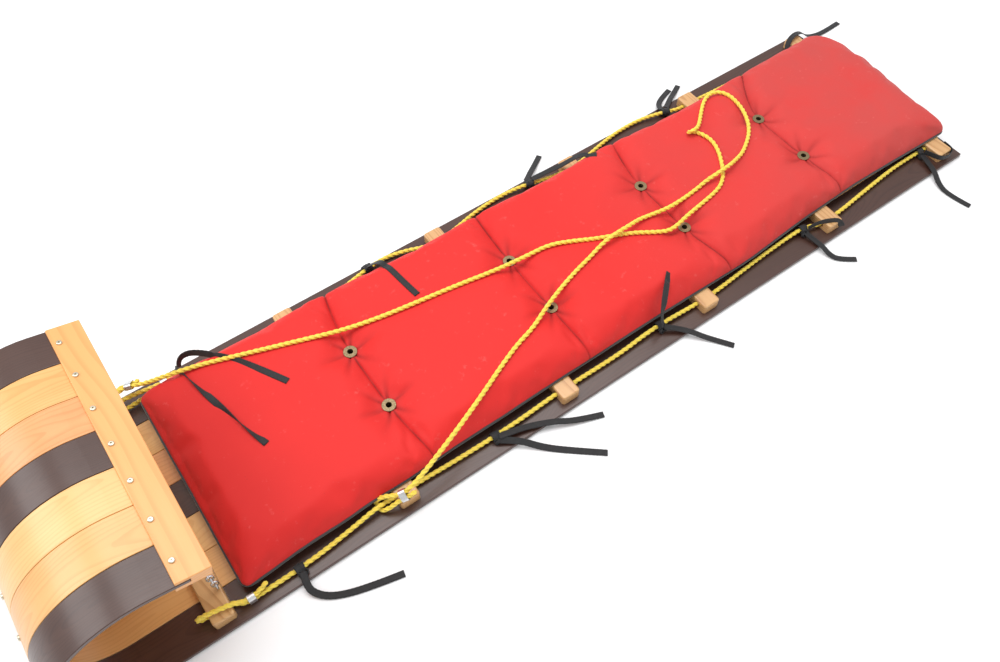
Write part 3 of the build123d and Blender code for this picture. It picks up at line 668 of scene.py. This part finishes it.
def tape_material():
    maker = Maker("woven_tape", (0.008, 0.008, 0.009), 0.6, Sheen_Weight=0.12)
    maker.shader.inputs["Sheen Tint"].default_value = (0.5, 0.5, 0.55, 1)
    u, v, _ = maker.split(maker.uv())
    ribs = maker.math("SINE", maker.math("MULTIPLY", u, 2 * math.pi / 0.0016))
    warp = maker.math("SINE", maker.math("MULTIPLY", v, 2 * math.pi * 26))
    weave = maker.math("ADD", ribs, maker.math("MULTIPLY", warp, 0.5))
    where = maker.place()[0]
    lint = maker.noise(where, 160.0, 3.0)
    colour = maker.mix(maker.spread(weave, -1.5, 1.5), (0.004, 0.004, 0.005), (0.018, 0.018, 0.019))
    maker.colour(maker.mix(maker.spread(lint, 0.55, 0.8, 0.0, 0.25), colour, (0.05, 0.05, 0.05)))
    maker.bump(weave, 0.00018, 0.8)
    return maker.material


def tape_frames(centres, rolls):
    """Sides that settle level as the tape runs, then roll about its line."""
    along = tangents(centres)
    up = np.array((0.0, 0.0, 1.0))
    side = np.cross(along[0], up)
    if np.linalg.norm(side) < 0.2:
        side = np.array((1.0, 0.0, 0.0))
    sides = []
    for tangent in along:
        level = np.cross(tangent, up)
        side = side - tangent * (side @ tangent)
        side = side / np.linalg.norm(side) + 0.2 * level
        side = side / np.linalg.norm(side)
        sides.append(side)
    sides = np.array(sides)
    turns = np.linspace(rolls[0], rolls[1], len(centres)) * 2 * np.pi
    ups = np.cross(along, sides)
    rolled = sides * np.cos(turns)[:, None] + ups * np.sin(turns)[:, None]
    return rolled, along


def laid_on(cushion, centres):
    """The part of a tape that meets the cushion, settled on or just outside its cover."""
    settled = centres.copy()
    for index, (x, y, z) in enumerate(centres):
        for _ in range(10):
            found, place, _, _ = cushion.ray_cast(Vector((x, y, 0.2)), Vector((0, 0, -1)))
            above = place.z + tape_thickness * 0.8
            if z < seam_z or not found or z > above - 6 * MM:
                break
            y += math.copysign(1 * MM, y)
        settled[index, 1] = y
        if found and above - 6 * MM < z < above + 6 * MM and z > seam_z:
            settled[index, 2] = above
    for _ in range(6):
        settled[1:-1] = (settled[:-2] + 2 * settled[1:-1] + settled[2:]) / 4
    return settled


def make_tail(name, node, route, rolls, material, cushion):
    centres = laid_on(cushion, centre_line(name, route, 1.6 * MM))
    sides, along = tape_frames(centres, rolls)
    ripple = 1 + 0.018 * np.sin(np.arange(len(centres)) * np.pi / 2)
    outlines = [tape_outline(tape_width * r, tape_thickness) for r in ripple]
    piece = skin(name, centres, sides, along, outlines, material)
    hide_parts(node)
    return piece, centres


def make_knot(name, node, place, outward, material):
    """Tape wrapped round the side rope and tucked through itself."""
    start, end, fraction = place
    middle = start + (end - start) * fraction
    axis = np.array((end - start).normalized())
    radial = np.array((0.0, outward, 0.0))
    radial = radial - axis * (radial @ axis)
    radial /= np.linalg.norm(radial)
    lift = np.cross(axis, radial)
    origin = np.array(middle)
    turn = np.linspace(0, 4.6 * np.pi, 90)
    reach = (5.0 + 2.8 * turn / turn[-1]) * MM
    slide = 2.8 * np.sin(turn * 0.45) * MM
    wrap = (origin + reach[:, None] * (np.cos(turn)[:, None] * radial
                                       + np.sin(turn)[:, None] * lift) + slide[:, None] * axis)
    along = tangents(wrap)
    sides = np.tile(axis, (len(wrap), 1))
    sides = sides - along * (sides * along).sum(axis=1)[:, None]
    sides /= np.linalg.norm(sides, axis=1)[:, None]
    outline = tape_outline(tape_width * 0.95, tape_thickness)
    band = skin(name + "_wrap", wrap, sides, along, [outline] * len(wrap), material)

    angle = np.linspace(0, 2 * np.pi, 120, endpoint=False)
    swell = (5.2 + 2.4 * np.cos(3 * angle)) * MM
    loop = (origin + radial * 7.6 * MM + lift * 3.2 * MM
            + (swell * np.cos(2 * angle))[:, None] * axis
            + (swell * np.sin(2 * angle))[:, None] * (radial * 0.5 + lift * 0.8)
            + (2.3 * MM * np.sin(3 * angle))[:, None] * (radial * 0.8 - lift * 0.5))
    tuck_along = np.roll(loop, -1, axis=0) - np.roll(loop, 1, axis=0)
    tuck_along /= np.linalg.norm(tuck_along, axis=1)[:, None]
    outward_from = loop - loop.mean(axis=0)
    tuck_sides = np.cross(tuck_along, outward_from)
    tuck_sides /= np.linalg.norm(tuck_sides, axis=1)[:, None]
    tuck = skin(name, loop, tuck_sides, tuck_along,
                [tape_outline(tape_width * 0.5, tape_thickness * 1.7)] * len(loop), material,
                closed=True)
    for piece in (band, tuck):
        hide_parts(node)
    return [band, tuck]


def make_ties(cushion):
    tape = tape_material()
    for node, tails in tie_tails.items():
        knot = []
        if node in knot_places:
            outward = -1 if node.startswith("near") else 1
            knot = make_knot(node + "_knot", node, knot_places[node], outward, tape)
        for number, (route, rolls) in enumerate(tails, 1):
            name = f"{node}_tail_{number}"
            tail, centres = make_tail(name, node, route, rolls, tape, cushion)


# ------------------------------------------------------------------ cushion

cushion_low, cushion_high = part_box("cushion")
seam_z = 30.0 * MM
rest_z = cushion_low.z
cushion_height = 32.5 * MM
puff_frames = 20
puff_limit = 9 * MM
fold_depth, fold_reach = 4.0 * MM, 14 * MM
slit_depth, slit_reach = 5.0 * MM, 2.2 * MM
pucker_count = 6
pucker_depth, pucker_reach = 6.0 * MM, 36 * MM
ruck_depth, ruck_reach = 0.6 * MM, 24 * MM
front_slope_depth, front_slope_length = 8.0 * MM, 120 * MM
tuft_rim, tuft_reach = 12.5 * MM, 17 * MM
tuft_hole_radius = 6.6 * MM
# Within this distance of a grommet's centre the cover is painted black as the hole's shade.
tuft_pit_shade_radius = 9.0 * MM
# The cover's edges as (place along, y) and the tail edge's bow as (y, bulge), in mm.
near_seam = ((40, -191), (70, -189), (140, -184), (220, -184), (262, -181), (310, -183),
             (400, -179), (500, -179), (600, -177), (810, -176), (1040, -179), (1180, -169),
             (1320, -164), (1450, -167), (1580, -171))
far_seam = ((40, 184), (90, 185), (260, 181), (430, 180), (630, 174), (740, 174), (850, 173),
            (970, 172), (1090, 168), (1220, 164), (1360, 169), (1500, 172), (1580, 170))
tail_bulge = ((-185, 4), (-115, 8), (-53, 14), (20, 24), (60, 26), (100, 22), (136, 12), (165, 0))
_, grommet_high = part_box("grommets")
flange_z = grommet_high.z - 1.2 * MM
grommet_rows = (-71.0 * MM, 49.0 * MM)
grommet_columns = [at(x, 0, 0).x for x in (359.0, 678.0, 977.0, 1278.0)]


# How fast each fold swings tailward outside its grommets, near side then far side, in mm.
fold_swings = ((8, 10), (1, 5), (11, 15), (8, 36))


def crease_x(column, y):
    """Where the fold through a pair of grommets runs, at a distance across the cushion."""
    near, far = grommet_rows
    span = (y - (near + far) / 2) / (far - near)
    near_swing, far_swing = fold_swings[column]
    swing = np.where(span > 0, far_swing, near_swing) * MM
    return grommet_columns[column] + swing * np.maximum(span ** 2 - 0.25, 0)


def edge_y(x, side):
    """The seam's y on one side, where it bows out at the ties and pulls in between them."""
    places = near_seam if side < 0 else far_seam
    xs = [at(place, 0, 0).x for place, _ in places]
    ys = [y * MM for _, y in places]
    spread = 22 * MM
    return sum(np.interp(x + shift * spread, xs, ys) for shift in (-1, -0.5, 0, 0.5, 1)) / 5


def cushion_columns():
    """The x of each row of quads: close together near the ends and the folds."""
    xs = list(np.arange(cushion_low.x, cushion_high.x + 1e-6, 8 * MM))
    for column in grommet_columns:
        xs = [x for x in xs if abs(x - column) > 26 * MM]
        xs += list(np.arange(column - 24 * MM, column + 24.1 * MM, 4 * MM))
    ends = np.array([0, 0.8, 2.2, 4.2, 7.0, 11.0, 16.0, 22.0]) * MM
    xs = [x for x in xs if cushion_low.x + 26 * MM < x < cushion_high.x - 26 * MM]
    xs += list(cushion_low.x + ends) + list(cushion_high.x - ends)
    return np.array(sorted(xs))


def cushion_rows():
    """Fractions across the top from -1 to 1, close together at both seams."""
    inner = np.linspace(-0.87, 0.87, 40)
    rim = np.array([1.0, 0.998, 0.99, 0.978, 0.96, 0.935, 0.905])
    return np.concatenate([-rim, inner, rim[::-1]])


def cushion_form():
    """The slack cushion: a slab with rounded shoulders."""
    xs, fractions = cushion_columns(), cushion_rows()
    length_middle = (cushion_low.x + cushion_high.x) / 2
    half_length = (cushion_high.x - cushion_low.x) / 2
    along = np.clip(np.abs(xs - length_middle) / half_length, 0, 1)
    end_fall = (1 - along ** 55) ** (1 / 2.2)
    top, bottom = [], []
    for x, fall in zip(xs, end_fall):
        near, far = edge_y(x, -1), edge_y(x, 1)
        from_end = min(x - cushion_low.x, cushion_high.x - x)
        tail = x > length_middle
        near_corner = (8 if tail else 12) * MM
        far_corner = (50 if tail else 8) * MM
        near += corner_pull(from_end, near_corner)
        far -= corner_pull(from_end, far_corner)
        ys = (near + far) / 2 + fractions * (far - near) / 2
        squareness = np.where(fractions > 0, 44, 14)
        side_fall = (1 - np.abs(fractions) ** squareness) ** (1 / 2.4)
        toward_tail = np.clip((x - at(1250, 0, 0).x) / (cushion_high.x - at(1250, 0, 0).x), 0, 1)
        bulge = np.interp(ys, *(np.array(tail_bulge).T * MM)) * toward_tail ** 2
        top.append(np.stack([x + bulge, ys, seam_z + cushion_height * fall * side_fall], axis=1))
        drop = (seam_z - rest_z - 0.3 * MM) * np.minimum(1, fall * 1.5) * side_fall ** 0.5
        bottom.append(np.stack([x + bulge, ys, seam_z - drop], axis=1))
    return np.array(top), np.array(bottom)


def corner_pull(from_end, radius):
    if from_end >= radius:
        return 0.0
    return radius - math.sqrt(radius ** 2 - (radius - from_end) ** 2)


def near_grommet(x, y):
    """Distance to the nearest grommet and the bearing from it."""
    best = None
    for column in grommet_columns:
        for row in grommet_rows:
            dx, dy = x - column, y - row
            distance = np.hypot(dx, dy)
            if best is None:
                best, bearing = distance, np.arctan2(dy, dx)
            else:
                bearing = np.where(distance < best, np.arctan2(dy, dx), bearing)
                best = np.minimum(distance, best)
    return best, bearing


def fold_distance(x, y):
    return np.min([np.abs(x - crease_x(i, y)) for i in range(len(grommet_columns))], axis=0)


def cushion_mesh():
    top, bottom = cushion_form()
    columns, rows = top.shape[:2]
    vertices = top.reshape(-1, 3).tolist()
    under = {}
    for i in range(columns):
        for j in range(rows):
            if i in (0, columns - 1) or j in (0, rows - 1):
                under[i, j] = i * rows + j
            else:
                under[i, j] = len(vertices)
                vertices.append(bottom[i, j].tolist())
    faces, slots = [], []
    for i in range(columns - 1):
        for j in range(rows - 1):
            a, b = i * rows + j, (i + 1) * rows + j
            faces.append((a, b, b + 1, a + 1))
            slots.append(0)
            faces.append((under[i, j], under[i, j + 1], under[i + 1, j + 1], under[i + 1, j]))
            slots.append(1)
    mesh = bpy.data.meshes.new("cushion_cover")
    mesh.from_pydata(vertices, [], faces)
    mesh.polygons.foreach_set("material_index", slots)
    mesh.polygons.foreach_set("use_smooth", [True] * len(faces))
    return mesh, columns * rows


def positions(mesh):
    flat = np.empty(len(mesh.vertices) * 3)
    mesh.vertices.foreach_get("co", flat)
    return flat.reshape(-1, 3)


def set_positions(mesh, points):
    mesh.vertices.foreach_set("co", np.asarray(points, float).ravel())
    mesh.update()


def inflate(piece, top_count):
    """Cloth under pressure, held at the seam, the grommets and, loosely, the folds."""
    start = positions(piece.data)
    distance, _ = near_grommet(start[:, 0], start[:, 1])
    is_top = np.arange(len(start)) < top_count
    hold = np.clip(1 - (fold_distance(start[:, 0], start[:, 1]) - 2 * MM) / (5 * MM), 0, 1) * 0.75
    hold = np.where(distance < 14 * MM, 1.0, hold)
    hold = np.where(~is_top, 1.0, hold)
    hold = np.where(start[:, 2] < seam_z + 0.5 * MM, 1.0, hold)
    pins = piece.vertex_groups.new(name="held")
    for index in np.nonzero(hold > 0)[0]:
        pins.add([int(index)], float(hold[index]), "REPLACE")
    cloth = piece.modifiers.new("puff", "CLOTH")
    cloth.settings.quality = 6
    cloth.settings.mass = 0.25
    cloth.settings.tension_stiffness = 12
    cloth.settings.compression_stiffness = 12
    cloth.settings.shear_stiffness = 5
    cloth.settings.bending_stiffness = 4.0
    cloth.settings.use_pressure = True
    cloth.settings.uniform_pressure_force = 4.0
    cloth.settings.shrink_min = -0.012
    cloth.settings.effector_weights.gravity = 0.0
    cloth.settings.vertex_group_mass = "held"
    cloth.settings.pin_stiffness = 4.0
    cloth.point_cache.frame_end = puff_frames
    scene = bpy.context.scene
    for number in range(1, puff_frames + 1):
        scene.frame_set(number)
    settled = piece.evaluated_get(bpy.context.evaluated_depsgraph_get())
    puffed = positions(settled.data).copy()
    piece.modifiers.remove(cloth)
    scene.frame_set(1)
    move = puffed - start
    size = np.linalg.norm(move, axis=1)
    shrink = np.where(size > puff_limit, puff_limit / np.maximum(size, 1e-9), 1.0)
    set_positions(piece.data, start + move * shrink[:, None])


def smooth_noise(x, y, seed):
    """A slow, repeatable unevenness between -1 and 1."""
    random = np.random.default_rng(seed)
    total = np.zeros_like(x)
    for _ in range(14):
        pitch = random.uniform(12, 60)
        heading = random.uniform(0, 2 * np.pi)
        phase = random.uniform(0, 2 * np.pi)
        total += np.sin(pitch * (x * np.cos(heading) + y * np.sin(heading)) + phase) * 12 / pitch
    return total / np.abs(total).max()


def shape_cover(piece):
    """Folds, tufts and puckers in the top of the cover, with painted shade in the puckers and the
    grommet pits.
    """
    points = positions(piece.data)
    x, y, z = points.T
    near_part = np.clip((z - seam_z - 4 * MM) / (14 * MM), 0, 1)
    distance, bearing = near_grommet(x, y)
    fold = fold_distance(x, y)
    drop = 1.1 * MM * smooth_noise(x, y, 5)
    drop += fold_depth * np.exp(-(fold / fold_reach) ** 2)
    slit = np.clip((distance - 13 * MM) / (12 * MM), 0, 1)
    drop += slit_depth * slit * np.exp(-(fold / slit_reach) ** 2)
    pucker = 0.5 + 0.5 * np.cos(bearing * pucker_count + 2.0 * smooth_noise(x, y, 9))
    wrinkle = pucker ** 5 * np.exp(-(distance / pucker_reach) ** 2)
    drop += pucker_depth * wrinkle
    rim = np.abs(y - edge_y(x, -1))
    ruck = np.sin(x * 190 + 3.0 * smooth_noise(x, y, 12)) * np.exp(-(rim / ruck_reach) ** 2)
    drop += ruck_depth * ruck
    to_front = np.clip(1 - (x - cushion_low.x) / front_slope_length, 0, 1)
    drop += front_slope_depth * to_front ** 1.5
    new_z = z - drop * near_part
    tuft_floor = flange_z - 0.4 * MM
    sink = np.exp(-(np.maximum(distance - tuft_rim, 0) / tuft_reach) ** 1.6)
    tufted = new_z * (1 - sink) + tuft_floor * sink
    new_z = np.where(near_part > 0.2, np.minimum(new_z, tufted), new_z)
    pit = (distance < tuft_hole_radius) & (near_part > 0.2)
    new_z = np.where(pit, seam_z + 2 * MM, new_z)
    points[:, 2] = new_z
    set_positions(piece.data, points)
    # Painted shade for the canvas colour: darker in the pucker wrinkles and round each grommet.
    shade = np.where(near_part > 0.2, wrinkle + 0.5 * np.exp(-(distance / (22 * MM)) ** 2), 0)
    layer = piece.data.attributes.new("pucker_shade", "FLOAT", "POINT")
    layer.data.foreach_set("value", np.clip(shade, 0, 1).astype(np.float32))
    # Painted shade: faces inside each grommet's pit take the black underside material, so the hole
    # reads dark.
    for polygon in piece.data.polygons:
        centre = polygon.center
        reach = min(math.hypot(centre.x - column, centre.y - row)
                    for column in grommet_columns for row in grommet_rows)
        if reach < tuft_pit_shade_radius:
            polygon.material_index = 1


def canvas_material():
    maker = Maker("red_canvas_cover", (0.78, 0.03, 0.03), 0.66, Sheen_Weight=0.08,
                  Specular_IOR_Level=0.3)
    maker.shader.inputs["Sheen Tint"].default_value = (1.0, 0.4, 0.35, 1)
    where, x, y, z = maker.place()
    threads = maker.math("MULTIPLY",
                         maker.math("SINE", maker.math("MULTIPLY", x, 2 * math.pi / 0.0011)),
                         maker.math("SINE", maker.math("MULTIPLY", y, 2 * math.pi / 0.0011)))
    mottling = maker.noise(where, 9.0, 4.0, 0.55)
    fading = maker.spread(x, 0.1, 0.85)
    fading = maker.math("MULTIPLY", fading, maker.spread(mottling, 0.3, 0.7, 0.45, 1.0))
    colour = maker.mix(fading, (0.70, 0.022, 0.019), (0.49, 0.080, 0.072))
    # Painted shade: the cover's front end is darker, at half strength at the front edge and fading
    # out over 170 mm.
    front = maker.spread(x, cushion_low.x, cushion_low.x + 170 * MM, 0.5, 0.0)
    colour = maker.mix(front, colour, (0.46, 0.013, 0.011))
    colour = maker.mix(maker.spread(mottling, 0.4, 0.7, 0.0, 0.22), colour, (0.58, 0.016, 0.014))
    scuffs = maker.noise(where, 60.0, 5.0, 0.7)
    colour = maker.mix(maker.spread(scuffs, 0.62, 0.8, 0.0, 0.35), colour, (0.80, 0.22, 0.20))
    grit = maker.noise(where, 420.0, 1.0)
    colour = maker.mix(maker.spread(grit, 0.78, 0.82, 0.0, 0.5), colour, (0.12, 0.02, 0.02))
    # Painted shade in the fold creases: a broad darkening within 16 mm of each fold line, and an
    # unevenly strong dark line along its bottom.
    near, far = grommet_rows
    span = maker.math("DIVIDE", maker.math("SUBTRACT", y, (near + far) / 2), far - near)
    bow = maker.math("SUBTRACT", maker.math("POWER", maker.math("ABSOLUTE", span), 2.0), 0.25)
    bow = maker.math("MAXIMUM", bow, 0.0)
    is_far = maker.math("GREATER_THAN", span, 0.0)
    nearest = None
    for column in range(len(grommet_columns)):
        near_swing, far_swing = fold_swings[column]
        swing = maker.math("MULTIPLY_ADD", is_far, (far_swing - near_swing) * MM, near_swing * MM)
        line = maker.math("MULTIPLY_ADD", bow, swing, grommet_columns[column])
        away = maker.math("ABSOLUTE", maker.math("SUBTRACT", x, line))
        nearest = away if nearest is None else maker.math("MINIMUM", nearest, away)
    uneven = maker.spread(maker.noise(where, 26.0, 2.0), 0.35, 0.6, 0.35, 1.0)
    crease_line_shade = maker.math("MULTIPLY", maker.spread(nearest, 0.0, 2.6 * MM, 0.8, 0.0), uneven)
    colour = maker.mix(maker.spread(nearest, 0.0, 16 * MM, 0.22, 0.0), colour, (0.36, 0.009, 0.009))
    colour = maker.mix(crease_line_shade, colour, (0.16, 0.006, 0.006))
    # Painted shade: the canvas darkens where pucker_shade is high, in the puckers round the
    # grommets.
    puckered = maker.node("ShaderNodeAttribute", attribute_name="pucker_shade").outputs["Fac"]
    colour = maker.mix(maker.spread(puckered, 0.0, 1.0, 0.0, 0.7), colour, (0.26, 0.008, 0.007))
    maker.colour(colour)
    maker.bump(threads, 0.00006, 0.5)
    maker.bump(scuffs, 0.0003, 0.25)
    return maker.material


def underside_material():
    maker = Maker("black_backing_and_pit_shade", (0.02, 0.02, 0.022), 0.7)
    where = maker.place()[0]
    weave = maker.noise(where, 900.0, 2.0)
    maker.colour(maker.mix(weave, (0.012, 0.012, 0.013), (0.03, 0.03, 0.032)))
    maker.bump(weave, 0.0002, 0.5)
    return maker.material


def make_cushion():
    mesh, top_count = cushion_mesh()
    cushion = bpy.data.objects.new("cushion_cover", mesh)
    bpy.context.scene.collection.objects.link(cushion)
    mesh.materials.append(canvas_material())
    mesh.materials.append(underside_material())
    inflate(cushion, top_count)
    finer = cushion.modifiers.new("finer", "SUBSURF")
    finer.levels = finer.render_levels = 1
    depsgraph = bpy.context.evaluated_depsgraph_get()
    smooth = bpy.data.meshes.new_from_object(cushion.evaluated_get(depsgraph))
    cushion.modifiers.clear()
    cushion.data = smooth
    shape_cover(cushion)
    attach(cushion, "root")
    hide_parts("cushion")
    return cushion


def make_piping():
    """A corded edge that follows the cover's seam."""
    top, _ = cushion_form()
    ring = np.concatenate([top[:, 0], top[-1, 1:], top[-2::-1, -1], top[0, -2:0:-1]])
    ring = evenly(np.concatenate([ring, ring[:1]]), 4 * MM)[:-1]
    ring[:, 2] = seam_z - 0.6 * MM
    for _ in range(3):
        ring = (np.roll(ring, 1, axis=0) + 2 * ring + np.roll(ring, -1, axis=0)) / 4
    along = np.roll(ring, -1, axis=0) - np.roll(ring, 1, axis=0)
    along /= np.linalg.norm(along, axis=1)[:, None]
    sides = np.cross(along, (0.0, 0.0, 1.0))
    maker = Maker("black_cord_cover", (0.015, 0.015, 0.017), 0.55, Sheen_Weight=0.4)
    u, v, _ = maker.split(maker.uv())
    ribs = maker.math("SINE", maker.math("ADD", maker.math("MULTIPLY", u, 4200.0),
                                         maker.math("MULTIPLY", v, 2 * math.pi)))
    maker.colour(maker.mix(maker.spread(ribs, -1, 1), (0.008, 0.008, 0.009), (0.03, 0.03, 0.033)))
    maker.bump(ribs, 0.0001, 0.6)
    outline = disc_outline(2.3 * MM, 12)
    piping = skin("piping_cord", ring, sides, along, [outline] * len(ring), maker.material,
                  closed=True)
    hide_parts("cushion_piping")


add_camera()
add_studio()
finish_slats()
finish_bars()
finish_metal()
make_ropes()
make_ties(make_cushion())
make_piping()
